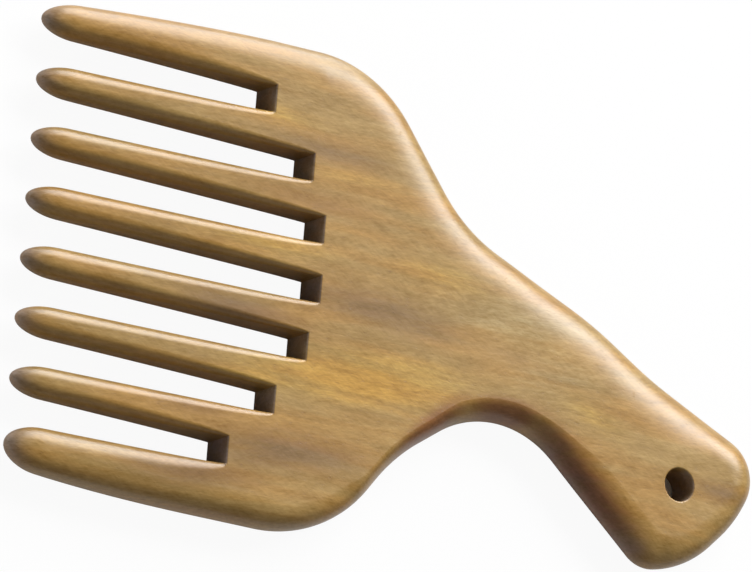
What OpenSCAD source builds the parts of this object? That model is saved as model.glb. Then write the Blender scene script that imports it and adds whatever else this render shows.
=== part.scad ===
// A wide-tooth comb shaped from one board of hardwood. The head carries eight tapered teeth between
// seven sawn slots, and a waisted handle leans down from it to a round hanging hole.
// The origin is the centre of the hanging hole, halfway through the board. +X runs along the teeth
// from their tips towards the handle, +Y runs across the teeth from the bottom one to the top one,
// and +Z comes out of the front face. The back is the front's mirror image.

/* [Board] */
// Thickness of the board
board_t = 9; // [7:0.5:11]

/* [Head] */
// Height of the middle of the head above the hanging hole, across the teeth
head_rise = 25; // [20:1:30]
// Width of the rounding along the edges of the head
head_edge_w = 5.5; // [3:0.5:7]

/* [Slots and teeth] */
// Number of teeth
tooth_n = 8; // [6:1:8]
// Distance between the middles of neighbouring slots
slot_pitch = 13.4; // [12.5:0.05:13.9]
// Width of a slot
slot_w = 5.9; // [4.5:0.1:7.5]
// Width of the top tooth at its root, up to the head's top edge
top_tooth_w = 10.8; // [9:0.1:14]
// Width of the bottom tooth at its root, down to the head's bottom edge
bottom_tooth_w = 11.9; // [9:0.1:14]
// Distance from the hanging hole back to the end of the deepest slot, along the teeth
slot_reach = 96.4; // [90:0.2:102]
// Radius of the arc on which the ends of the slots lie
slot_arc_r = 54; // [52:1:80]
// Height of the centre of that arc above the middle of the head
slot_arc_up = 3.2; // [0:0.2:5]
// Length of the teeth, from the line of their tips to the end of the deepest slot
tooth_l = 73.1; // [60:0.1:85]
// Width of an inner tooth just behind its domed tip
tooth_tip_w = 6.8; // [5:0.1:7.4]
// Thickness that a tooth thins down to at its tip
tooth_tip_t = 6.6; // [5:0.1:7]
// Length of the domed tip of a tooth
tip_dome_l = 8.5; // [6:0.5:14]
// Radius of the eased edges where a slot ends
slot_ease_r = 0.3; // [0.2:0.1:1]
// How far the outer side of the top tooth draws in towards its tip
top_draw = 3.3; // [1:0.1:4.5]
// How far the outer side of the bottom tooth draws in towards its tip
bottom_draw = 2.3; // [1:0.1:4.5]

/* [Handle] */
// Angle at which the handle leans down from the line of the teeth, in degrees
handle_lean = 27; // [23:0.5:31]
// Length of the handle, from the hanging hole to the nape where it joins the head
handle_l = 74; // [70:1:80]
// Width of the handle at its palm swell
handle_w = 36; // [32:1:38]
// Distance from the hanging hole to the butt of the handle
butt_l = 18; // [16:0.5:22]
// Width of the rounding along the edges of the handle
handle_edge_w = 7; // [4:0.5:7.5]

/* [Hanging hole] */
// Diameter of the hanging hole
hole_d = 7.5; // [4:0.5:10]
// Width of the bevel around each mouth of the hanging hole
hole_bevel = 0.4; // [0.2:0.1:0.8]

/* [Hidden] */
// Corners of the head's outline before they are rounded, for the chin, the throat and the shoulder.
// Each is a place along the teeth past the deepest slot, a height above the middle of the head and
// a radius, all as shares of the width of the head.
chin_share = [0.075, -0.5, 0.31];
throat_share = [0.224, -0.294, 0.42];
shoulder_share = [0.105, 0.5, 0.286];
// Corners of the handle's outline before they are rounded. The first number is a place along the
// handle from the hanging hole, as a share of the handle's length up to the nape or of the butt's
// length the other way. The others are a height across the handle and a radius, as shares of its width.
nape_share = [1, 0.421, 1.03];
back_share = [0.49, 0.508, 2.58];
hollow_share = [0.23, 0.48, 2.47];
crook_share = [0.62, -0.27, 0.69];
butt_top_share = [-0.96, 0.53, 0.275];
butt_share = [-1, 0.095, 0.88];
butt_low_share = [-0.73, -0.36, 0.73];
heel_share = [-0.19, -0.575, 0.228];
// How late an outer side starts to draw in: 1 is a straight taper, and a higher power starts later
top_draw_power = 1.5;
bottom_draw_power = 2.5;
// The slots are sawn by eye. Each number is how much further than the arc a slot goes, from the top
// slot down, as a share of the distance between slots.
slot_extra_share = [-0.02, 0.09, 0.04, -0.01, 0, -0.06, 0.06];
// Stretch of a tooth over which its corners grow from eased to fully round, as shares of its length
// from the tip
round_from_share = 0.2;
round_to_share = 0.9;
// Part of each half side that a fully round corner takes, which leaves a narrow flat between corners
full_round_share = 0.97;
// Most of the smallest outward corner's radius that an edge rounding may take
edge_limit_share = 0.9;
// Width of the band at the neck over which the edge rounding changes, as a share of the handle's width
neck_blend_share = 0.6;

// Degrees of arc between points of the outline, and steps across a rounded edge or corner
arc_step = 5;
edge_steps = 14;
corner_steps = 5;
dome_steps = 6;
shaft_steps = 6;

WOOD = "#bd9a5f";

half_t = board_t / 2;
slot_n = tooth_n - 1;
head_w = bottom_tooth_w + (slot_n - 1) * slot_pitch + slot_w + top_tooth_w;
tip_x = -slot_reach - tooth_l;
plate_x = -slot_reach - tooth_l / 2;
head_top = head_rise + head_w / 2;
head_bottom = head_rise - head_w / 2;
slot_arc_y = head_rise + slot_arc_up;
// Every cutting shape runs this far past what it cuts
overrun = board_t;

TEETH = [for (i = [1:tooth_n]) str("tooth_", i)];

function unit(v) = v / norm(v);
function lerp(a, b, t) = a + (b - a) * t;
function clamp01(t) = min(1, max(0, t));
function ease(t) = t * t * (3 - 2 * t);

// A head corner and a handle corner as [x, y, radius]
function head_corner(s) = [s.x * head_w - slot_reach, head_rise + s.y * head_w, s.z * head_w];
function handle_corner(s) =
    let (along = s.x * (s.x > 0 ? handle_l : butt_l), across = s.y * handle_w)
    [across * sin(handle_lean) - along * cos(handle_lean),
     across * cos(handle_lean) + along * sin(handle_lean),
     s.z * handle_w];

NAPE = handle_corner(nape_share);
CROOK = handle_corner(crook_share);

// The outline's corners, anticlockwise from the plate's bottom left end to its top left end
CORNERS = [
    [plate_x, head_bottom, 0],
    head_corner(chin_share),
    head_corner(throat_share),
    CROOK,
    handle_corner(heel_share),
    handle_corner(butt_low_share),
    handle_corner(butt_share),
    handle_corner(butt_top_share),
    handle_corner(hollow_share),
    handle_corner(back_share),
    NAPE,
    head_corner(shoulder_share),
    [plate_x, head_top, 0],
];
LAST = len(CORNERS) - 1;

function corner_at(i) = [CORNERS[i].x, CORNERS[i].y];
function turn_at(i) =
    let (a = corner_at(i) - corner_at(i - 1), b = corner_at(i + 1) - corner_at(i))
    sign(a.x * b.y - a.y * b.x) * acos(unit(a) * unit(b));
// Length that the rounding of corner i takes from each side next to it
function tangent_at(i) = i == 0 || i == LAST ? 0 : CORNERS[i].z * tan(abs(turn_at(i)) / 2);
function side_room(i) = norm(corner_at(i + 1) - corner_at(i)) / (tangent_at(i) + tangent_at(i + 1));
// The corner's radius, made smaller only where two neighbouring roundings would meet
function radius_at(i) = CORNERS[i].z * min(1, side_room(i - 1), side_room(i));

// The rounding of corner i as [place, outward normal] pairs
function corner_arc(i) =
    let (turn = turn_at(i),
         r = radius_at(i),
         back = unit(corner_at(i - 1) - corner_at(i)),
         on = unit(corner_at(i + 1) - corner_at(i)),
         centre = corner_at(i) + unit(back + on) * r / cos(turn / 2),
         first = corner_at(i) + back * r * tan(abs(turn) / 2) - centre,
         start = atan2(first.y, first.x),
         steps = ceil(abs(turn) / arc_step))
    [for (k = [0:steps])
        let (a = start + turn * k / steps, out = [cos(a), sin(a)])
        [centre + r * out, sign(turn) * out]];

OUTLINE = concat(
    [[corner_at(0), [0, -1]]],
    [for (i = [1:LAST - 1], place = corner_arc(i)) place],
    [[corner_at(LAST), [0, 1]]]);

SMALLEST_R = min([for (i = [1:LAST - 1]) if (turn_at(i) > 0) radius_at(i)]);
NECK_ALONG = unit([CROOK.x - NAPE.x, CROOK.y - NAPE.y]);
NECK_OUT = [-NECK_ALONG.y, NECK_ALONG.x];

// How far a place lies past the neck towards the handle
function past_neck(p) = (p - [NAPE.x, NAPE.y]) * NECK_OUT;
function edge_w_at(p) =
    let (t = clamp01(past_neck(p) / (neck_blend_share * handle_w) + 1 / 2))
    min(lerp(head_edge_w, handle_edge_w, ease(t)), edge_limit_share * SMALLEST_R);

// Triangles between rings of count points each, from ring number first to the next ring
function band(first, count) = [for (j = [0:count - 1])
    let (a = first + j, b = first + (j + 1) % count, c = b + count, d = a + count)
    each [[a, d, c], [a, c, b]]];

// Triangles across a flat face whose ring goes out along its bottom side and back along its top side.
// low and high are the places reached on the two sides, and the side that lags behind is drawn next.
function across(ring, low, high) =
    high - low < 2 ? []
    : ring[low + 1].x < ring[high - 1].x
        ? concat([[low, low + 1, high]], across(ring, low + 1, high))
        : concat([[low, high - 1, high]], across(ring, low, high - 1));

// The whole head and handle as one board with a half-elliptical edge, before any cut
module plate() {
    count = len(OUTLINE);
    rings = [for (k = [0:edge_steps])
        let (a = 180 * k / edge_steps - 90)
        [for (place = OUTLINE)
            let (inset = edge_w_at(place[0]) * (1 - cos(a)))
            [each (place[0] - inset * place[1]), half_t * sin(a)]]];
    top = edge_steps * count;
    flat = across(rings[0], 0, count - 1);
    back_face = flat;
    front_face = [for (t = flat) [top + t[2], top + t[1], top + t[0]]];
    sides = [for (k = [0:edge_steps - 1]) each band(k * count, count)];
    polyhedron(
        points = [for (ring = rings) each ring],
        faces = concat(back_face, front_face, sides));
}

// Slot 1 is the top one, between tooth 1 and tooth 2
function slot_y(i) = head_top - top_tooth_w - slot_w / 2 - (i - 1) * slot_pitch;
function slot_end(i) =
    let (off = slot_y(i) - slot_arc_y, extra = slot_extra_share[i - 1] * slot_pitch)
    sqrt(slot_arc_r * slot_arc_r - off * off) - slot_arc_r - slot_reach + extra;
// A tooth's root is where the first of the slots beside it ends
function root_x(i) = min(slot_end(max(1, i - 1)), slot_end(min(slot_n, i)));
function root_low(i) = i == tooth_n ? head_bottom : slot_y(i) + slot_w / 2;
function root_high(i) = i == 1 ? head_top : slot_y(i - 1) - slot_w / 2;

// What the slots and the spaces between the head's stubs take from the board, as one stepped cut
module teeth_side() {
    far_x = plate_x - overrun;
    steps = [for (i = [tooth_n:-1:1]) each concat(
        [[root_x(i), i == tooth_n ? head_bottom - overrun : root_low(i)],
         [root_x(i), i == 1 ? head_top + overrun : root_high(i)]],
        i == 1 ? [] : [for (y = [root_high(i), root_low(i - 1)]) [slot_end(i - 1), y]])];
    linear_extrude(board_t + overrun, center = true)
        polygon(concat([[far_x, head_bottom - overrun]], steps, [[far_x, head_top + overrun]]));
}

// Everything past the straight joint across the neck, from the nape to the crook
module past_neck_side() {
    span = head_w + handle_l;
    translate([NAPE.x, NAPE.y])
        rotate(atan2(NECK_OUT.y, NECK_OUT.x))
            translate([span / 2, 0])
                cube([span, 2 * span, board_t + overrun], center = true);
}

module hanging_hole() {
    wide_d = hole_d + 4 * hole_bevel;
    cylinder(d = hole_d, h = board_t + overrun, center = true, $fn = 64);
    translate([0, 0, half_t])
        cylinder(d1 = hole_d, d2 = wide_d, h = 2 * hole_bevel, center = true, $fn = 64);
    translate([0, 0, -half_t])
        cylinder(d1 = wide_d, d2 = hole_d, h = 2 * hole_bevel, center = true, $fn = 64);
}

module head() {
    color(WOOD)
        difference() {
            plate();
            teeth_side();
            past_neck_side();
        }
}

module handle() {
    color(WOOD)
        difference() {
            intersection() {
                plate();
                past_neck_side();
            }
            hanging_hole();
        }
}

// One quarter of a rounded section, as [y, z] places round the middle of its elliptical corner
function corner_places(middle, radii, from) = [for (k = [0:corner_steps])
    let (a = from + 90 * k / corner_steps)
    [middle.x + radii.x * cos(a), middle.y + radii.y * sin(a)]];

// A section between two sides, half_z thick each way, with its own corner radii on either side
function section(low, high, half_z, low_r, high_r) = concat(
    corner_places([high - high_r.x, half_z - high_r.y], high_r, 0),
    corner_places([low + low_r.x, half_z - low_r.y], low_r, 90),
    corner_places([low + low_r.x, low_r.y - half_z], low_r, 180),
    corner_places([high - high_r.x, high_r.y - half_z], high_r, 270));

// A tooth swept from its domed tip to its root. Its slot sides are flat with eased edges at the
// root, and its corners grow towards the tip until the section is an ellipse. The outer side of the
// top and the bottom tooth carries the rounded edge of the head on.
module tooth(i) {
    length = root_x(i) - tip_x;
    slot_draw = (slot_pitch - slot_w - tooth_tip_w) / 2;
    dome = [for (k = [1:dome_steps])
        let (a = 90 * k / dome_steps) [tip_dome_l * (1 - cos(a)), sin(a)]];
    shaft = [for (k = [1:shaft_steps]) [lerp(tip_dome_l, length, k / shaft_steps), 1]];
    stations = concat(dome, shaft);
    rings = [for (station = stations)
        let (from_tip = station.x / length,
             drawn = 1 - from_tip,
             round_t = 1 - clamp01((from_tip - round_from_share) / (round_to_share - round_from_share)),
             high = root_high(i) - (i == 1 ? top_draw * pow(drawn, top_draw_power) : slot_draw * drawn),
             low = root_low(i)
                 + (i == tooth_n ? bottom_draw * pow(drawn, bottom_draw_power) : slot_draw * drawn),
             half_z = half_t - (board_t - tooth_tip_t) / 2 * drawn * drawn,
             full_r = full_round_share * [(high - low) / 2, half_z],
             slot_r = lerp([slot_ease_r, slot_ease_r], full_r, round_t),
             edge_w = edge_w_at([root_x(i), root_high(i)]),
             outer_r = lerp([edge_w, full_r.y], full_r, round_t),
             middle = (high + low) / 2,
             flat = section(low - middle, high - middle, half_z,
                            i == tooth_n ? outer_r : slot_r, i == 1 ? outer_r : slot_r))
        [for (place = flat)
            [tip_x + station.x, middle + station.y * place.x, station.y * place.y]]];
    count = len(rings[0]);
    last = len(rings) - 1;
    tip_high = root_high(i) - (i == 1 ? top_draw : slot_draw);
    tip_low = root_low(i) + (i == tooth_n ? bottom_draw : slot_draw);
    points = concat([for (ring = rings) each ring], [[tip_x, (tip_high + tip_low) / 2, 0]]);
    apex = len(points) - 1;
    tip_fan = [for (j = [0:count - 1]) [apex, j, (j + 1) % count]];
    root_face = [for (j = [count - 1:-1:0]) last * count + j];
    sides = [for (k = [0:last - 1]) each band(k * count, count)];
    color(WOOD)
        polyhedron(points = points, faces = concat(tip_fan, sides, [root_face]));
}

head();
handle();
for (i = [1:tooth_n])
    tooth(i);
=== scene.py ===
# %% [markdown]
# # A wide-tooth wooden comb
# The real comb is one board of hardwood: a maker saws its outline, rounds its edges over, saws
# seven slots into the head and rounds the eight teeth between them.
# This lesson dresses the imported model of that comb. The model comes in as a fixed frame, and each
# of its nodes gets a smooth piece with real rounding and real wood grain.

# %% Load the frame
import math

import bmesh
import bpy
from mathutils import Matrix, Vector


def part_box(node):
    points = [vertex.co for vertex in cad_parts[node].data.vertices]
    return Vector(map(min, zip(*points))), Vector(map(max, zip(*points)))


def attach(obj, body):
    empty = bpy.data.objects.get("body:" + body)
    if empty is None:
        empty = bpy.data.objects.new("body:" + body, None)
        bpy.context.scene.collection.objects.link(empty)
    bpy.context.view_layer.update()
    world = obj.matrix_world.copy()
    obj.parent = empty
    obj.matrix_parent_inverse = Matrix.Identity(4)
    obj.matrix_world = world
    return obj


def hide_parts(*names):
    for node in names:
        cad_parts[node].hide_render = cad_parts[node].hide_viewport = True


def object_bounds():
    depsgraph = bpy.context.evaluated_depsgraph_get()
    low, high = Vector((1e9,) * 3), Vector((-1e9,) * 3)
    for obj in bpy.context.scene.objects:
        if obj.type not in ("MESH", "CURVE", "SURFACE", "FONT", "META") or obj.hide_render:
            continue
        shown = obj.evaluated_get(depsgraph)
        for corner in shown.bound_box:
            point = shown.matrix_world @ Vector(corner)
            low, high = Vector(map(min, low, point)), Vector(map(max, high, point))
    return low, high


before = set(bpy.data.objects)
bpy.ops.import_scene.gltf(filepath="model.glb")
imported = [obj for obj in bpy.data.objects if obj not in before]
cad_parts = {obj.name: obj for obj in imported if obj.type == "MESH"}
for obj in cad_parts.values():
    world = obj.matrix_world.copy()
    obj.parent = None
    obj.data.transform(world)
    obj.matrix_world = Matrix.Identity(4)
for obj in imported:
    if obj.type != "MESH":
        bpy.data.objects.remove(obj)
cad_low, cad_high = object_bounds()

MM = 0.001
print("frame nodes:", sorted(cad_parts))

# %% [markdown]
# ## The camera
# The comb is seen from the left and a little from below, well above its front face. The teeth
# point left and the handle falls away to the right. A very long lens from far away keeps the
# slots parallel, as they are in a product photograph.
# The camera is placed by a direction and a distance from the point that it looks at, and is then
# rolled about its own line of sight. That is easier to read and change than a matrix of numbers.

# %% Camera
AIM = Vector((-79.905, 30.356, 0)) * MM
CAMERA_AZIMUTH = -63.495
CAMERA_ELEVATION = 56.303
CAMERA_ROLL = 72.1165
CAMERA_DISTANCE = 2464.1 * MM
LENS_MM, SENSOR_MM = 536.17, 36
CLIP_NEAR, CLIP_FAR = 0.1, 20


def direction(azimuth, elevation):
    """A direction away from the comb. Azimuth 0 is towards -Y, and 90 is towards +X."""
    a, e = math.radians(azimuth), math.radians(elevation)
    return Vector((math.sin(a) * math.cos(e), -math.cos(a) * math.cos(e), math.sin(e)))


def place_camera():
    back = direction(CAMERA_AZIMUTH, CAMERA_ELEVATION)
    data = bpy.data.cameras.new("camera")
    data.lens = LENS_MM
    data.sensor_width = SENSOR_MM
    data.clip_start = CLIP_NEAR
    data.clip_end = CLIP_FAR
    camera = bpy.data.objects.new("camera", data)
    bpy.context.scene.collection.objects.link(camera)
    upright = (-back).to_track_quat("-Z", "Y").to_matrix()
    rolled = upright @ Matrix.Rotation(math.radians(CAMERA_ROLL), 3, "Z")
    camera.matrix_world = Matrix.Translation(AIM + back * CAMERA_DISTANCE) @ rolled.to_4x4()
    bpy.context.scene.camera = camera
    return camera


camera = place_camera()
print("camera at", [round(x, 3) for x in camera.matrix_world.translation])

# %% [markdown]
# ## Sizes taken from the frame
# The board's thickness, the tips, the roots of the teeth and the head's edges are all read from
# the frame's boxes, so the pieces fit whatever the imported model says.
# What a box can't tell is named here in millimetres: how far the slots reach, how the handle
# leans, how wide it is, and how little the edges are eased at the hole and where the saw stopped.

# %% Sizes of the comb
TOOTH_N = len([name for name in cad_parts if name.startswith("tooth_")])
HEAD_LOW, HEAD_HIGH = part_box("head")
HALF_T = HEAD_HIGH.z
HEAD_W = HEAD_HIGH.y - HEAD_LOW.y
HEAD_RISE = (HEAD_HIGH.y + HEAD_LOW.y) / 2
TIP_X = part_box("tooth_1")[0].x
TOOTH_BOXES = [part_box(f"tooth_{i + 1}") for i in range(TOOTH_N)]

SLOT_REACH = 96.4 * MM
HANDLE_LEAN = math.radians(27)
HANDLE_L = 74 * MM
HANDLE_W = 36 * MM
BUTT_L = 18 * MM
HOLE_R = 3.75 * MM
HOLE_EASE = 0.4 * MM
SLOT_EASE = 0.45 * MM
print("thickness", round(2 * HALF_T / MM, 2), "head width", round(HEAD_W / MM, 2), "mm")

# %% [markdown]
# ## The outline
# The outer edge of the head and the handle is a chain of straight sides with rounded corners, as
# a maker would draw it with a ruler and a set of curves. Each corner is a place and a radius,
# then the width of the edge rounding there, in mm, and the power of its curve. The hand has
# rounded this edge most where the palm lies, and least under the head.
# A curve object could hold it, but an arc made by spinning one vertex about the corner's centre
# stays exact, and every vertex can remember which way is outward for the rounding that follows.

# %% Outline corners


def head_corner(along, up, radius):
    """Shares of the head's width: past the deepest slot, above the head's middle, and a radius."""
    place = Vector((along * HEAD_W - SLOT_REACH, HEAD_RISE + up * HEAD_W, 0))
    return place, radius * HEAD_W


def handle_corner(along, across, radius):
    """Shares of the handle's length, or the butt's, from the hole on; then shares of its width."""
    x = -along * (HANDLE_L if along > 0 else BUTT_L)
    place = Matrix.Rotation(-HANDLE_LEAN, 3, "Z") @ Vector((x, across * HANDLE_W, 0))
    return place, radius * HANDLE_W


NAPE = handle_corner(1, 0.421, 1.03)
CROOK = handle_corner(0.62, -0.27, 0.69)
TOP_EDGE = (7.2, 2.5)
BOTTOM_EDGE = (6.5, 2.0)
# place, radius, width of the rounding in mm and power of its curve, from the bottom tooth round
CORNERS = [
    (Vector((TOOTH_BOXES[-1][1].x, HEAD_LOW.y, 0)), 0, *BOTTOM_EDGE),
    (*head_corner(0.075, -0.5, 0.31), 5.5, 2.0),
    (*head_corner(0.224, -0.294, 0.42), 3.8, 1.6),
    (*CROOK, 4.6, 1.5),
    (*handle_corner(-0.19, -0.575, 0.228), 7.8, 1.8),
    (*handle_corner(-0.73, -0.36, 0.73), 6.5, 2.0),
    (*handle_corner(-1, 0.095, 0.88), 6.5, 2.0),
    (*handle_corner(-0.96, 0.53, 0.275), 7.5, 2.2),
    (*handle_corner(0.23, 0.48, 2.47), 12.5, 2.4),
    (*handle_corner(0.49, 0.508, 2.58), 12.5, 2.5),
    (*NAPE, 12.5, 2.8),
    (*head_corner(0.105, 0.5, 0.286), 11.0, 2.8),
    (Vector((TOOTH_BOXES[0][1].x, HEAD_HIGH.y, 0)), 0, *TOP_EDGE),
]
NECK_PLACE = NAPE[0]
NECK_OUT = Vector((NAPE[0].y - CROOK[0].y, CROOK[0].x - NAPE[0].x, 0)).normalized()
print(len(CORNERS), "corners, neck at", [round(x / MM, 1) for x in NECK_PLACE.xy])

# %% [markdown]
# ## The rounded edge
# The real edge is worn and sanded to a soft round, wider towards the face than through the board.
# The outline's wire is extruded step by step, and each step moves in and up along a
# superellipse: power 2 is an ellipse, less is closer to a chamfer, and more starts more gently.
# A bevel would do the same on a square edge, but only with one width and one curve all round.

# %% Wires that remember their foot
ARC_STEP = math.radians(1.5)
SIDE_STEP = 2 * MM
EDGE_STEPS = 24
NEARNESS = 5


def new_wire():
    """A bmesh whose vertices remember where they stand, which way is outward, and a rounding."""
    bm = bmesh.new()
    bm.verts.layers.float_vector.new("foot")
    bm.verts.layers.float_vector.new("outward")
    bm.verts.layers.float.new("width")
    bm.verts.layers.float.new("depth")
    return bm


def stand(bm, v, outward):
    v[bm.verts.layers.float_vector["foot"]] = v.co
    v[bm.verts.layers.float_vector["outward"]] = outward


def spin_corner(bm, before, corner, after, radius):
    """Spins one vertex round a corner's centre and returns the first and the last vertex."""
    back = (before - corner).normalized()
    on = (after - corner).normalized()
    turn = -(-back).xy.angle_signed(on.xy)
    centre = corner + (back + on).normalized() * radius / math.cos(turn / 2)
    count = len(bm.verts)
    first = bm.verts.new(corner + back * radius * math.tan(abs(turn) / 2))
    steps = math.ceil(abs(turn) / ARC_STEP)
    bmesh.ops.spin(bm, geom=[first], cent=centre, axis=(0, 0, 1), angle=turn, steps=steps)
    bm.verts.ensure_lookup_table()
    arc = bm.verts[count:]
    for v in arc:
        stand(bm, v, (v.co - centre).normalized() * math.copysign(1, turn))
    return arc[0], arc[-1]


def outline_wire():
    bm = new_wire()
    last = bm.verts.new(CORNERS[0][0])
    stand(bm, last, Vector((0, -1, 0)))
    sides = []
    for i in range(1, len(CORNERS) - 1):
        corner, radius = CORNERS[i][:2]
        first, end = spin_corner(bm, CORNERS[i - 1][0], corner, CORNERS[i + 1][0], radius)
        sides.append(bm.edges.new((last, first)))
        last = end
    end = bm.verts.new(CORNERS[-1][0])
    stand(bm, end, Vector((0, 1, 0)))
    sides.append(bm.edges.new((last, end)))
    for side in sides:
        cuts = int(side.calc_length() / SIDE_STEP)
        if cuts:
            bmesh.ops.subdivide_edges(bm, edges=[side], cuts=cuts)
    foot = bm.verts.layers.float_vector["foot"]
    for v in bm.verts:
        v[foot] = v.co
    return bm


def extrude_ring(bm, ring):
    """Extrudes a wire and returns the new wire's vertices and its edges."""
    made = bmesh.ops.extrude_edge_only(bm, edges=ring)["geom"]
    new = {part for part in made if isinstance(part, bmesh.types.BMVert)}
    return new, [e for e in made if isinstance(e, bmesh.types.BMEdge) and set(e.verts) <= new]


def raise_ring(bm, ring, rise):
    """Extrudes a wire. rise(v) tells how far a new vertex goes in from its foot, and how high."""
    new, ring = extrude_ring(bm, ring)
    foot = bm.verts.layers.float_vector["foot"]
    outward = bm.verts.layers.float_vector["outward"]
    for v in new:
        inset, height = rise(v)
        v.co = v[foot] - v[outward] * inset + Vector((0, 0, height))
    return ring


def edge_shape(place):
    """Width and power of the rounding here: those of the corners, blended by nearness."""
    near = [max((place - corner[0]).length, MM) ** -NEARNESS for corner in CORNERS]
    width = sum(share * corner[2] for share, corner in zip(near, CORNERS)) / sum(near)
    power = sum(share * corner[3] for share, corner in zip(near, CORNERS)) / sum(near)
    return width * MM, power


def rounded_edge():
    """The front half of the board's outer edge, from mid-thickness up to the front face."""
    bm = outline_wire()
    foot = bm.verts.layers.float_vector["foot"]
    ring = bm.edges[:]
    for k in range(1, EDGE_STEPS + 1):
        a = math.pi / 2 * k / EDGE_STEPS

        def rise(v):
            width, power = edge_shape(v[foot])
            return width * (1 - math.cos(a) ** (2 / power)), HALF_T * math.sin(a) ** (2 / power)

        ring = raise_ring(bm, ring, rise)
    return bm


edge = rounded_edge()
print("rounded edge:", len(edge.verts), "vertices,", len(edge.faces), "faces")

# %% [markdown]
# ## Closing a piece
# Each piece is first made as its front half and then mirrored through the middle of the board,
# because the comb's back is the same as its front. What is still open after that are the flat
# joints to its neighbours, and they get one flat face each.
# Vertices that meet are merged before the normals are worked out, so that these point outwards.

# %% Helpers that finish a piece
MERGE = 1e-6
SHARP = math.radians(50)


def close_with_mirror(bm):
    """Mirrors the front half to the back, fills the open joints and turns all faces outward."""
    bmesh.ops.remove_doubles(bm, verts=bm.verts, dist=MERGE)
    everything = bm.verts[:] + bm.edges[:] + bm.faces[:]
    bmesh.ops.mirror(bm, geom=everything, matrix=Matrix.Identity(4), merge_dist=MERGE, axis="Z")
    close_joints(bm)


def close_joints(bm):
    bmesh.ops.remove_doubles(bm, verts=bm.verts, dist=MERGE)
    bmesh.ops.dissolve_degenerate(bm, dist=MERGE, edges=bm.edges)
    open_edges = [e for e in bm.edges if e.is_boundary]
    bmesh.ops.edgeloop_fill(bm, edges=open_edges)
    bmesh.ops.recalc_face_normals(bm, faces=bm.faces)
    for f in bm.faces:
        f.smooth = True
    for e in bm.edges:
        e.smooth = e.calc_face_angle(0) < SHARP


def make_piece(bm, node, material):
    """Turns a finished bmesh into the piece that stands for one node of the frame."""
    mesh = bpy.data.meshes.new(node + "_wood")
    bm.to_mesh(mesh)
    volume = bm.calc_volume()
    loose = sum(not e.is_manifold for e in bm.edges)
    bm.free()
    piece = bpy.data.objects.new(node + "_wood", mesh)
    bpy.context.scene.collection.objects.link(piece)
    mesh.materials.append(material)
    flat = piece.modifiers.new("flat faces stay flat", "WEIGHTED_NORMAL")
    flat.keep_sharp = True
    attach(piece, "root")
    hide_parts(node)
    print(f"{piece.name}: {len(mesh.polygons)} faces, {volume * 1e6:.2f} cm3, {loose} open edges")
    return piece


# %% [markdown]
# ## Small helpers for node trees
# A material is a tree of nodes. Adding and linking each one by hand takes many lines, so these
# helpers add one node, set it, link it and return the socket that carries its result.

# %% Node helpers


def add_node(tree, kind, inputs=(), **settings):
    """Adds a node with its settings. inputs are (socket, value or source socket) pairs."""
    node = tree.nodes.new(kind)
    for name, value in settings.items():
        setattr(node, name, value)
    for socket, value in inputs:
        if isinstance(value, bpy.types.NodeSocket):
            tree.links.new(value, node.inputs[socket])
        else:
            node.inputs[socket].default_value = value
    return node


def grey(value):
    return (value, value, value, 1)


def calc(tree, operation, *values):
    pairs = list(enumerate(values))
    return add_node(tree, "ShaderNodeMath", pairs, operation=operation).outputs[0]


def ramp(tree, value, low, high, to_low=0.0, to_high=1.0):
    """A smooth step from to_low to to_high while value goes from low to high."""
    pairs = [
        ("Value", value),
        ("From Min", low),
        ("From Max", high),
        ("To Min", to_low),
        ("To Max", to_high),
    ]
    return add_node(
        tree, "ShaderNodeMapRange", pairs, interpolation_type="SMOOTHSTEP"
    ).outputs[0]


def mix_colour(tree, share, first, second, blend="MIX"):
    """Mixes two colours. A Mix node keeps them in sockets 6 and 7, and its result in output 2."""
    pairs = [("Factor", share), (6, first), (7, second)]
    return add_node(
        tree, "ShaderNodeMix", pairs, data_type="RGBA", blend_type=blend
    ).outputs[2]


def noise(tree, place, size_mm, detail=2.0, rough=0.5, turn=0.0):
    """Noise whose lumps have this length, width and depth in mm, turned in the board's plane."""
    pairs = [
        ("Vector", place),
        ("Rotation", (0, 0, math.radians(turn))),
        ("Scale", [x * MM for x in size_mm]),
    ]
    mapped = add_node(tree, "ShaderNodeMapping", pairs, vector_type="TEXTURE").outputs[0]
    pairs = [("Vector", mapped), ("Scale", 1.0), ("Detail", detail), ("Roughness", rough)]
    return add_node(tree, "ShaderNodeTexNoise", pairs).outputs["Fac"]


# %% [markdown]
# ## The wood's figure
# The wood is a golden hardwood whose layers run along the comb. Broad layers change from tan to
# gold and to a purplish brown, and fine fibres cross them as short feathery strokes, because the
# grain of this wood leans one way in one layer and the other way in the next.
# Noise alone would give such layers, but not where the photograph shows them. So each broad
# streak is placed one by one: a Mapping node lays a long thin ellipsoid into the board, and a
# spherical gradient fades it out. The umber ones aren't in the wood: they are painted shade on
# the shaded edges, from under the head along the handle, and round its butt.

# %% Streaks through the board
# place x and y, half length, half width (all in mm), slant in degrees, and strength
DARK_STREAKS = [
    (-97, 57, 27, 5.5, -4, 0.6),
    (-100, 44.5, 28, 5, -2, 0.45),
    (-82, 24, 36, 7, -3.5, 0.72),
    (-46, 20.5, 26, 6, -4, 0.3),
    (-103, -13, 34, 7.5, 4, 0.8),
    (-116, 18, 24, 4.5, -3, 0.9),
    (-126, -21, 26, 5, 2, 0.8),
    (-126, -7, 18, 3, 0, 0.5),
    (11, 0, 12, 3.5, -5, 0.7),
]
GOLD_STREAKS = [
    (-84, 8, 38, 9, 6, 1.0),
    (-106, 4.5, 24, 6, 5, 0.7),
    (-112, 33, 26, 4, 0, 0.6),
    (-66, 34, 20, 5, 0, 0.5),
    (-92, 51.5, 22, 4.5, 0, 0.35),
    (-110, 62, 18, 5, -5, 0.5),
    (-24, 11, 14, 5, -20, 0.5),
]
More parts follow.
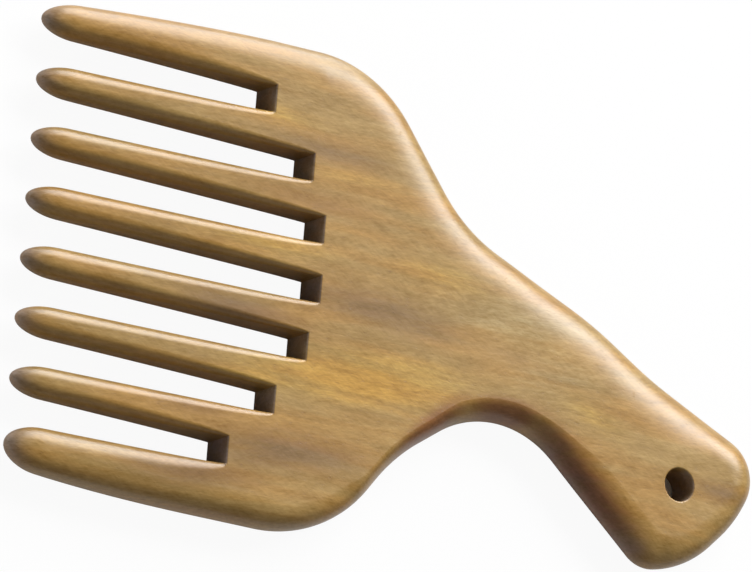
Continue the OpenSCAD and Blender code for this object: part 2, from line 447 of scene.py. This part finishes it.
GREEN_STREAKS = [(-42, 24, 32, 13, -10, 0.6)]
# umber streaks of painted shade on the shaded lower edges and round the butt, not in the wood
PAINTED_SHADE_STREAKS = [
    (-65, 0.5, 17, 4.5, 45, 1.0),
    (-46, 8, 13, 4.5, 0, 1.0),
    (-23, -4, 30, 6.5, -39.5, 0.85),
    (19, -6, 21, 5, 66, 0.5),
]
STREAK_DEPTH = 100
STREAK_FULL = 0.8
TAN = (0.414, 0.242, 0.068, 1)
GOLD = (0.526, 0.303, 0.057, 1)
DARK = (0.268, 0.148, 0.052, 1)
GREEN = (0.454, 0.318, 0.13, 1)
# UMBER is the colour of the painted shade streaks
UMBER = (0.27, 0.115, 0.035, 1)


def streak(tree, place, x, y, length, width, slant, strength):
    """1 in the middle of a long thin ellipsoid in the board, times its strength, and 0 outside."""
    laid = add_node(
        tree,
        "ShaderNodeMapping",
        [
            ("Vector", place),
            ("Location", (x * MM, y * MM, 0)),
            ("Rotation", (0, 0, math.radians(slant))),
            ("Scale", (length * MM, width * MM, STREAK_DEPTH * MM)),
        ],
        vector_type="TEXTURE",
    ).outputs[0]
    inside = add_node(tree, "ShaderNodeTexGradient", [(0, laid)], gradient_type="SPHERICAL")
    return calc(tree, "MULTIPLY", inside.outputs["Fac"], strength)


def streaks(tree, place, rows, fray):
    """All streaks of one colour together, with edges that noise has frayed."""
    total = 0.0
    for row in rows:
        total = calc(tree, "MAXIMUM", total, streak(tree, place, *row))
    frayed = calc(tree, "MULTIPLY", total, fray)
    return ramp(tree, frayed, 0.0, STREAK_FULL)


# %% [markdown]
# ## The grain
# In the real wood fine detail lies over the streaks: lines along the grain, mottled patches,
# fibres, feathery strokes that lean both ways, and open pores.
# An image could show it, but it would have to be laid round every edge. Noise on Object
# coordinates goes right through the board instead, so the grain runs on from the teeth through
# the head to the handle, and shows in the slots as well. Two slow noises push those coordinates
# sideways first, because grain never runs dead straight.

# %% Grain
# sizes of the noises' lumps in mm, along the grain, across it and through the board
WANDER_MM, WANDER_SIZE = 3.0, (70, 30, 20)
RIPPLE_MM, RIPPLE_SIZE = 1.2, (14, 7, 7)
LINE_SIZE, LINE_DEPTH, LINE_FRAY = (40, 2.4, 3.5), 0.3, 1.6
MOTTLE_SIZE, MOTTLE_DEPTH = (9, 2.6, 3.5), 0.2
FIBRE_SIZE, FIBRE_DEPTH, FIBRE_FRAY = (3.2, 0.42, 0.6), 0.25, 0.8
FEATHER_SIZE, FEATHER_DEPTH = (2.6, 0.5, 0.8), 0.2
FEATHER_TURNS = (16, -30)
TONE_SIZE, TONE_FROM, TONE_TO = (42, 4.5, 7), 0.35, 0.65
PORE_SIZE, PORE_DEPTH = (1.6, 0.16, 0.25), 0.25
PORE_FROM, PORE_TO = 0.66, 0.78


def shifted(tree, place, amount):
    """Moves coordinates sideways, across the grain, by a value in mm."""
    move = add_node(
        tree, "ShaderNodeCombineXYZ", [("Y", calc(tree, "MULTIPLY", amount, MM))]
    ).outputs[0]
    return add_node(
        tree, "ShaderNodeVectorMath", [(0, place), (1, move)], operation="ADD"
    ).outputs[0]


def about_zero(tree, value, height):
    """Turns a value of 0 to 1 into one of minus half the height to plus half the height."""
    return calc(tree, "MULTIPLY", calc(tree, "SUBTRACT", value, 0.5), height)


def make_grain(tree, place):
    """The grain's noises by name, with the wandering coordinates that the streaks follow too."""
    wander = about_zero(tree, noise(tree, place, WANDER_SIZE), 2 * WANDER_MM)
    ripple = about_zero(tree, noise(tree, place, RIPPLE_SIZE), 2 * RIPPLE_MM)
    soft = shifted(tree, place, wander)
    bent = shifted(tree, soft, ripple)
    return {
        "place": soft,
        "lines": noise(tree, bent, LINE_SIZE, detail=3.0, rough=0.6),
        "fibres": noise(tree, bent, FIBRE_SIZE, rough=0.6),
        "mottle": noise(tree, bent, MOTTLE_SIZE),
        "feathers": [noise(tree, bent, FEATHER_SIZE, rough=0.6, turn=t) for t in FEATHER_TURNS],
        "tone": ramp(tree, noise(tree, soft, TONE_SIZE), TONE_FROM, TONE_TO),
        "pores": ramp(tree, noise(tree, bent, PORE_SIZE, detail=1.0), PORE_FROM, PORE_TO),
    }


# %% [markdown]
# ## The wood's colour
# The streaks are mixed over the tan ground, and the grain frays their edges. The fine detail then
# lightens and darkens them. Its lightness is the grain's own, but it swings more in blue than in
# red, which paints in part of a sheen that changes with the grain; so each channel has its own
# gain, and a slow noise turns the tone from warm to cool.
# End grain drinks more oil, so the tips and the slots' ends, which look back along the grain, are
# darker in red and green, partly from that and partly as painted shade; their blue is lifted, a
# painted pale reflection, so they look greyer. The butt has been polished by hands. Rounded edges
# are a little darker than the flat faces: that is painted shade. Both are found from the normal.

# %% Wood colour
# green and blue swing more than red, which paints in part of the sheen over the grain
GREEN_GAIN, BLUE_GAIN = 1.2, 1.9
WARM, COOL = (1.045, 0.98, 0.86, 1), (0.96, 1.02, 1.14, 1)
# tips and slots' ends: darker partly from end grain and partly as painted shade; the blue is a
# painted reflection
END_GRAIN_AND_PAINTED_LIGHT_TINT = (0.76, 0.88, 1.9, 1)
END_FROM, END_TO = -0.1, -0.65
# painted shade: the rounded edges are darkened by how far they tilt from the face
EDGE_PAINTED_SHADE = (0.77, 0.775, 0.80, 1)
EDGE_FROM, EDGE_TO = 0.95, 0.85


def figure(tree, place, grain):
    """Broad streaks over the tan ground, umber ones painted shade. Green and umber ones don't
    wander.
    """
    fray = calc(tree, "ADD", 1.0, about_zero(tree, grain["lines"], LINE_FRAY))
    fray = calc(tree, "ADD", fray, about_zero(tree, grain["fibres"], FIBRE_FRAY))
    green = streaks(tree, place, GREEN_STREAKS, fray)
    gold = streaks(tree, grain["place"], GOLD_STREAKS, fray)
    dark = streaks(tree, grain["place"], DARK_STREAKS, fray)
    # painted shade: the umber streaks darken the shaded edges
    umber = streaks(tree, place, PAINTED_SHADE_STREAKS, fray)
    colour = mix_colour(tree, green, TAN, GREEN)
    colour = mix_colour(tree, gold, colour, GOLD)
    colour = mix_colour(tree, dark, colour, DARK)
    return mix_colour(tree, umber, colour, UMBER)


def fine_shade(tree, grain):
    """A colour about white that the fine detail multiplies the figure by."""
    light = about_zero(tree, grain["lines"], 2 * LINE_DEPTH)
    light = calc(tree, "ADD", light, about_zero(tree, grain["mottle"], 2 * MOTTLE_DEPTH))
    light = calc(tree, "ADD", light, about_zero(tree, grain["fibres"], 2 * FIBRE_DEPTH))
    for feather in grain["feathers"]:
        light = calc(tree, "ADD", light, about_zero(tree, feather, 2 * FEATHER_DEPTH))
    light = calc(tree, "SUBTRACT", light, calc(tree, "MULTIPLY", grain["pores"], PORE_DEPTH))
    # the larger green and blue gains are painted sheen over the grain
    gains = enumerate((1.0, GREEN_GAIN, BLUE_GAIN))
    channels = [(k, calc(tree, "MULTIPLY_ADD", light, gain, 1.0)) for k, gain in gains]
    return add_node(tree, "ShaderNodeCombineColor", channels).outputs[0]


def wood_colour(tree, place, grain, end, edge):
    """Figure, detail, tone, end tint and painted edge shade. end and edge are 1 where they apply.
    """
    tone = mix_colour(tree, grain["tone"], WARM, COOL)
    colour = figure(tree, place, grain)
    colour = mix_colour(tree, 1.0, colour, fine_shade(tree, grain), "MULTIPLY")
    colour = mix_colour(tree, 1.0, colour, tone, "MULTIPLY")
    colour = mix_colour(tree, end, colour, END_GRAIN_AND_PAINTED_LIGHT_TINT, "MULTIPLY")
    return mix_colour(tree, edge, colour, EDGE_PAINTED_SHADE, "MULTIPLY")


# %% [markdown]
# ## The finish
# The comb has been sanded and rubbed with a thin oil, which leaves a soft gloss and no film.
# A clear coat would look like varnish, so the gloss is the shader's own: rougher on the end
# grain, a little uneven with the fibres, and broken up by a very low bump of the same fibres,
# strokes and pores.

# %% Wood material
FACE_ROUGH, END_ROUGH, ROUGH_SWING = 0.33, 0.42, 0.1
OIL_IOR = 1.52
FIBRE_BUMP_MM = 0.01


def wood_material():
    material = bpy.data.materials.new("oiled hardwood")
    material.use_nodes = True
    tree = material.node_tree
    shader = tree.nodes["Principled BSDF"]
    source = add_node(tree, "ShaderNodeTexCoord").outputs
    way = add_node(tree, "ShaderNodeSeparateXYZ", [(0, source["Normal"])]).outputs
    # end is 1 on the tips and the slots' ends, whose tint is part end grain, part painted shade and
    # reflection
    end = ramp(tree, way["X"], END_FROM, END_TO)
    # edge is 1 on the rounded edges, where painted shade darkens the colour
    edge = ramp(tree, calc(tree, "ABSOLUTE", way["Z"]), EDGE_TO, EDGE_FROM, 1.0, 0.0)

    grain = make_grain(tree, source["Object"])
    colour = wood_colour(tree, source["Object"], grain, end, edge)
    tree.links.new(colour, shader.inputs["Base Color"])

    rough = ramp(tree, end, 0.0, 1.0, FACE_ROUGH, END_ROUGH)
    rough = calc(tree, "ADD", rough, about_zero(tree, grain["fibres"], ROUGH_SWING))
    tree.links.new(rough, shader.inputs["Roughness"])
    shader.inputs["IOR"].default_value = OIL_IOR

    height = calc(tree, "ADD", grain["fibres"], grain["feathers"][0])
    height = calc(tree, "SUBTRACT", height, grain["pores"])
    bump = add_node(
        tree,
        "ShaderNodeBump",
        [("Strength", 1.0), ("Distance", FIBRE_BUMP_MM * MM), ("Height", height)],
    )
    tree.links.new(bump.outputs[0], shader.inputs["Normal"])
    return material


wood = wood_material()
print("wood:", wood.name, len(wood.node_tree.nodes), "nodes")

# %% [markdown]
# ## The head
# The head is the wide end of the board up to the neck. Its teeth side is a stepped line: the
# slots go in to different depths, and each tooth starts where the first of its two slots ends.
# A boolean could cut the slots, but it leaves untidy faces. Here each slot's wall is a short wire
# round three sides of the slot. It is extruded up, its edge is barely eased at the slot's end and
# rounder towards the teeth, and one face closes the front.
# A tooth's upper edge is rounded sooner than its lower one, as in the photograph.

# %% Head
SLOT_ARC_R = 54 * MM
SLOT_ARC_Y = HEAD_RISE + 3.2 * MM
SLOT_PITCH = 13.4 * MM
SLOT_EXTRA = [-0.02, 0.09, 0.04, -0.01, 0, -0.06, 0.06]
# how fast a tooth's upper (1) and lower (-1) edge is rounded from the slot's end to the tip
ROUND_POWERS = {1: 0.38, -1: 0.62}
FULL_ROUND = 0.97
EASE_STEPS = 8
WALL_STEPS = 8


def slot_end(i):
    """Where the slot below tooth number i + 1 ends. The ends lie near an arc, sawn by eye."""
    middle = (TOOTH_BOXES[i][0].y + TOOTH_BOXES[i + 1][1].y) / 2
    off = middle - SLOT_ARC_Y
    arc = math.sqrt(SLOT_ARC_R**2 - off**2) - SLOT_ARC_R
    return arc - SLOT_REACH + SLOT_EXTRA[i] * SLOT_PITCH


def slot_rounding(i, side, x, half_w, half_z):
    """How far a tooth's edge along slot i is rounded at x, in and down. side 1 is its upper one."""
    end = slot_end(i)
    share = max(0, (end - x) / (end - TIP_X)) ** ROUND_POWERS[side]
    sawn = Vector((SLOT_EASE, SLOT_EASE))
    return sawn.lerp(Vector((half_w, half_z)) * FULL_ROUND, share)


def wall_side(bm, i, tooth, y, outward):
    """One long side of a slot in the head, as vertices from the slot's end to the tooth's root.

    Where the tooth starts at the slot's very end, only the eased corner is left of that side.
    """
    low, high = TOOTH_BOXES[tooth]
    end, root, steps = slot_end(i), high.x, WALL_STEPS
    if end - root < MERGE:
        end, steps = root, 1
    upper = 1 if outward.y > 0 else -1
    side = []
    for k in range(steps + 1):
        x = end + (root - end) * (k / steps) ** 2
        side.append(bm.verts.new((x, y, 0)))
        stand(bm, side[-1], outward)
        inset, depth = slot_rounding(i, upper, x, (high.y - low.y) / 2, HALF_T)
        side[-1][bm.verts.layers.float["width"]] = inset
        side[-1][bm.verts.layers.float["depth"]] = depth
    return side


def slot_wire(bm, i):
    """The wall of one slot in the head, from the tooth below it round to the tooth above it."""
    low, high = TOOTH_BOXES[i + 1][1].y, TOOTH_BOXES[i][0].y
    below = wall_side(bm, i, i + 1, low, Vector((0, 1, 0)))
    above = wall_side(bm, i, i, high, Vector((0, -1, 0)))
    outward = bm.verts.layers.float_vector["outward"]
    below[0][outward], above[0][outward] = Vector((-1, 1, 0)), Vector((-1, -1, 0))
    wall = below[::-1] + above
    return [bm.edges.new(pair) for pair in zip(wall, wall[1:])]


def saw_slots(bm):
    width, depth = bm.verts.layers.float["width"], bm.verts.layers.float["depth"]
    for i in range(TOOTH_N - 1):
        ring = slot_wire(bm, i)
        for k in range(EASE_STEPS + 1):
            a = math.pi / 2 * k / EASE_STEPS

            def rise(v):
                return v[width] * (1 - math.cos(a)), HALF_T - v[depth] * (1 - math.sin(a))

            ring = raise_ring(bm, ring, rise)


def cut_at_neck(bm, **side):
    """Cuts the outline's wire at the neck and clears one side of the cut."""
    everything = bm.verts[:] + bm.edges[:] + bm.faces[:]
    bmesh.ops.bisect_plane(
        bm, geom=everything, dist=MERGE, plane_co=NECK_PLACE, plane_no=NECK_OUT, **side
    )
    bmesh.ops.remove_doubles(bm, verts=bm.verts, dist=MERGE)


def in_front(edges):
    """Those edges that lie in the front face."""
    return [e for e in edges if all(abs(v.co.z - HALF_T) < MERGE for v in e.verts)]


def front_ends(bm):
    """The vertices where the front face's rim is still open."""
    return [v for v in bm.verts if len(in_front(v.link_edges)) == 1]


def make_head():
    bm = edge.copy()
    cut_at_neck(bm, clear_outer=True)
    saw_slots(bm)
    ends = front_ends(bm)
    neck = [v for v in ends if abs((v.co - NECK_PLACE).dot(NECK_OUT)) < 2 * MERGE]
    bm.edges.new(neck)
    stubs = sorted((v for v in ends if v not in neck), key=lambda v: v.co.y)
    for low, high in zip(stubs[::2], stubs[1::2]):
        bm.edges.new((low, high))
    bmesh.ops.contextual_create(bm, geom=in_front(bm.edges))
    close_with_mirror(bm)
    return make_piece(bm, "head", wood)


head = make_head()

# %% [markdown]
# ## The handle
# The handle is the rest of the board past the neck. The hanging hole is a circle drawn on the
# front face before that face is filled, so the face is filled round it, and its mouth is eased.

# %% Handle
HOLE_SIDES = 96


def drill_hole(bm):
    """The hole's wall from the front face down to mid-thickness, with an eased mouth."""
    mouth = bmesh.ops.create_circle(
        bm,
        cap_ends=False,
        radius=HOLE_R + HOLE_EASE,
        segments=HOLE_SIDES,
        matrix=Matrix.Translation((0, 0, HALF_T)),
    )["verts"]
    ring = [e for e in bm.edges if all(v in mouth for v in e.verts)]
    for k in range(1, EASE_STEPS + 2):
        new, ring = extrude_ring(bm, ring)
        a = math.pi / 2 * min(k, EASE_STEPS) / EASE_STEPS
        radius = HOLE_R + HOLE_EASE * (1 - math.sin(a))
        height = HALF_T - HOLE_EASE * (1 - math.cos(a)) if k <= EASE_STEPS else 0
        for v in new:
            v.co = v.co.xy.normalized().to_3d() * radius + Vector((0, 0, height))


def make_handle():
    bm = edge.copy()
    cut_at_neck(bm, clear_inner=True)
    bm.edges.new(front_ends(bm))
    drill_hole(bm)
    bmesh.ops.triangle_fill(bm, use_beauty=True, edges=in_front(bm.edges), normal=(0, 0, 1))
    close_with_mirror(bm)
    return make_piece(bm, "handle", wood)


handle = make_handle()

# %% [markdown]
# ## The teeth
# Each tooth is swept from its root to its tip. At the root its section is the board's own, flat
# with barely eased edges; then the corners grow, fast at first, until the section is an ellipse,
# and the tip is a dome. The top and the bottom tooth carry the head's rounded edge on along their
# outer side.
# One ring of vertices is extruded from station to station, and a formula puts each new ring in
# place, so all eight teeth come from one function.

# %% Teeth
TIP_W = 6.8 * MM
TIP_T = 6.6 * MM
DOME_L = 8.5 * MM
TOP_DRAW, TOP_DRAW_POWER = 3.3 * MM, 1.5
BOTTOM_DRAW, BOTTOM_DRAW_POWER = 2.3 * MM, 2.5
OUTER_POWER = 0.5
CORNER_STEPS = 16
SHAFT_STEPS, SHAFT_CROWD = 36, 1.8
DOME_STEPS = 12
INNER_W = TOOTH_BOXES[1][1].y - TOOTH_BOXES[1][0].y
SLOT_DRAW = (INNER_W - TIP_W) / 2


def tooth_stations(length):
    """Distance from the tip and size of the section, from the root to the very tip."""
    shares = [(k / SHAFT_STEPS) ** SHAFT_CROWD for k in range(SHAFT_STEPS)]
    shaft = [length + (DOME_L - length) * share for share in shares]
    angles = [math.pi / 2 * (1 - k / DOME_STEPS) for k in range(DOME_STEPS + 1)]
    dome = [(DOME_L * (1 - math.cos(a)), math.sin(a)) for a in angles]
    return [(d, 1) for d in shaft] + dome


def outer_rounding(head_edge, half_w, half_z, share):
    """The rounding of the head's edge where a share of it has turned into the tip's."""
    width, power = head_edge
    full = Vector((half_w, half_z)) * FULL_ROUND
    return Vector((width * MM, half_z)).lerp(full, share), power + (2 - power) * share


def tooth_section(i, station):
    """A function that puts each numbered vertex of the ring in its place at a station."""
    low, high = TOOTH_BOXES[i]
    distance, size = station
    length = high.x - TIP_X
    drawn = 1 - distance / length
    round_t = drawn**OUTER_POWER
    top, bottom = i == 0, i == TOOTH_N - 1
    y_high = high.y - (TOP_DRAW * drawn**TOP_DRAW_POWER if top else SLOT_DRAW * drawn)
    y_low = low.y + (BOTTOM_DRAW * drawn**BOTTOM_DRAW_POWER if bottom else SLOT_DRAW * drawn)
    half_z = HALF_T - (HALF_T - TIP_T / 2) * drawn**2
    middle = (y_high + y_low) / 2
    half = (y_high - y_low) / 2, half_z
    x = TIP_X + distance
    if top:
        upper = outer_rounding(TOP_EDGE, *half, round_t)
    else:
        upper = slot_rounding(i - 1, 1, x, *half), 2
    if bottom:
        lower = outer_rounding(BOTTOM_EDGE, *half, round_t)
    else:
        lower = slot_rounding(i, -1, x, *half), 2

    def place(number):
        corner, step = divmod(number, CORNER_STEPS + 1)
        a = math.pi / 2 * (corner + step / CORNER_STEPS)
        side, face = (1 if corner in (0, 3) else -1), (1 if corner < 2 else -1)
        r, power = upper if side > 0 else lower
        bow = 2 / power
        y = side * (half[0] - r.x + r.x * abs(math.cos(a)) ** bow)
        z = face * (half_z - r.y + r.y * abs(math.sin(a)) ** bow)
        return Vector((x, middle + size * y, size * z))

    return place


def make_tooth(i):
    bm = bmesh.new()
    number = bm.verts.layers.int.new("number")
    count = 4 * (CORNER_STEPS + 1)
    first = bmesh.ops.create_circle(bm, cap_ends=False, radius=1, segments=count)["verts"]
    for k, v in enumerate(first):
        v[number] = k
    ring = bm.edges[:]
    stations = tooth_stations(TOOTH_BOXES[i][1].x - TIP_X)
    place = tooth_section(i, stations[0])
    for v in bm.verts:
        v.co = place(v[number])
    for station in stations[1:]:
        new, ring = extrude_ring(bm, ring)
        place = tooth_section(i, station)
        for v in new:
            v.co = place(v[number])
    close_joints(bm)
    return make_piece(bm, f"tooth_{i + 1}", wood)


teeth = [make_tooth(i) for i in range(TOOTH_N)]

# %% [markdown]
# ## The floor
# The comb lies on a plain pale floor. In the photograph the ground is pure white and yet throws
# little light up at the comb, whose lower edges stay dark.
# A white floor would brighten those edges, so the floor's colour depends on who looks at it. The
# camera and transmitted rays see white with a faint shadow. Glossy rays see white too, but
# darker close to the comb, where a real floor lies in its shadow. The light that bounces back up
# comes from a warm grey, since near the comb it has met the wood before.
# The small disc under the hanging hole keeps its full shadow, as the hole is dark in the
# photograph.

# %% Floor
FLOOR_GAP = 0.2 * MM
FLOOR_HALF = 3.0
FLOOR_WHITE = 0.92
FLOOR_BOUNCE = (0.47, 0.35, 0.28, 1)
SHADOW_SHARE = 0.06
CONTACT_REACH = 30 * MM
CONTACT_DARK, CONTACT_LIGHT = 0.55, 0.93
UNDER_HOLE_R = 6 * MM


def floor_material():
    material = bpy.data.materials.new("pale floor")
    material.use_nodes = True
    tree = material.node_tree
    tree.nodes.clear()
    rays = add_node(tree, "ShaderNodeLightPath").outputs
    seen = calc(tree, "MAXIMUM", rays["Is Camera Ray"], rays["Is Transmission Ray"])
    looked_at = calc(tree, "MAXIMUM", seen, rays["Is Glossy Ray"])
    colour = mix_colour(tree, looked_at, FLOOR_BOUNCE, grey(FLOOR_WHITE))
    lit = add_node(tree, "ShaderNodeBsdfDiffuse", [("Color", colour)]).outputs[0]
    white = add_node(tree, "ShaderNodeEmission", [("Strength", 1)]).outputs[0]

    place = add_node(tree, "ShaderNodeTexCoord").outputs["Object"]
    away = add_node(tree, "ShaderNodeVectorMath", [(0, place)], operation="LENGTH").outputs["Value"]
    clear = calc(tree, "GREATER_THAN", away, UNDER_HOLE_R)
    openness = add_node(tree, "ShaderNodeAmbientOcclusion", [("Distance", CONTACT_REACH)])
    reflected = ramp(tree, openness.outputs["AO"], CONTACT_DARK, CONTACT_LIGHT)
    reflected = calc(tree, "MULTIPLY", reflected, rays["Is Glossy Ray"])
    share = calc(tree, "MAXIMUM", calc(tree, "MULTIPLY", seen, clear), reflected)
    share = calc(tree, "MULTIPLY", share, 1 - SHADOW_SHARE)
    mixed = add_node(tree, "ShaderNodeMixShader", [(0, share), (1, lit), (2, white)]).outputs[0]
    add_node(tree, "ShaderNodeOutputMaterial", [("Surface", mixed)])
    return material


def make_floor():
    bm = bmesh.new()
    bmesh.ops.create_grid(bm, x_segments=1, y_segments=1, size=FLOOR_HALF)
    mesh = bpy.data.meshes.new("floor")
    bm.to_mesh(mesh)
    bm.free()
    mesh.materials.append(floor_material())
    floor = bpy.data.objects.new("floor", mesh)
    floor.location.z = cad_low.z - FLOOR_GAP
    bpy.context.scene.collection.objects.link(floor)
    return floor


floor = make_floor()
print("floor at", round((cad_low.z - FLOOR_GAP) / MM, 2), "mm")

# %% [markdown]
# ## The light
# A product like this is lit with softboxes. The main one stands on the far side, beyond the
# comb's upper right edge: it lights the flat faces and draws the cream highlight along that edge
# and along every tooth. A tall strip beyond the head's upper edge carries that highlight round to
# the edges which look up in the photograph. Three low, dim ones each show only in the outermost
# edges: beside the tips, at the left, and under the comb's lower edge. A dim grey room fills the
# rest, so the edges that face the camera stay dark, as they do in the photograph.
# A single lamp would be simpler, but one place can't both draw the highlight and light the tips.

# %% Lamps and room
LAMP_DISTANCE = 2.0
ROOM = 0.15

# azimuth, elevation, width and height in metres, and brightness beside white's 1
LAMPS = {
    "main": (127, 35, 0.6, 0.6, 18.8),
    "strip": (161, 20, 1.35, 2.0, 8.2),
    "low": (230, 5, 1.6, 0.35, 5.0),
    "fill": (293, 16, 1.4, 0.8, 2.0),
    "near": (22, 5, 1.8, 0.4, 1.2),
}


def softbox(name, azimuth, elevation, width, height, radiance):
    """A rectangular lamp that looks at the comb. radiance is its brightness beside white's 1."""
    data = bpy.data.lights.new(name, "AREA")
    data.shape = "RECTANGLE"
    data.size, data.size_y = width, height
    data.energy = radiance * math.pi * width * height
    lamp = bpy.data.objects.new(name, data)
    bpy.context.scene.collection.objects.link(lamp)
    back = direction(azimuth, elevation)
    turned = (-back).to_track_quat("-Z", "Y").to_matrix().to_4x4()
    lamp.matrix_world = Matrix.Translation(AIM + back * LAMP_DISTANCE) @ turned
    return lamp


def make_room(level):
    world = bpy.data.worlds.new("room")
    bpy.context.scene.world = world
    world.use_nodes = True
    background = world.node_tree.nodes["Background"].inputs
    background["Color"].default_value = grey(1)
    background["Strength"].default_value = level


lamps = [softbox(name, *places) for name, places in LAMPS.items()]
make_room(ROOM)
bpy.context.scene.view_settings.view_transform = "Standard"
print("lamps:", {lamp.name: round(lamp.data.energy, 1) for lamp in lamps})

# %% [markdown]
# ## The frame's box
# The size of the frame's box is printed in mm.

# %% Print the frame's box
print("cad box", [round(x / MM, 2) for x in cad_high - cad_low])
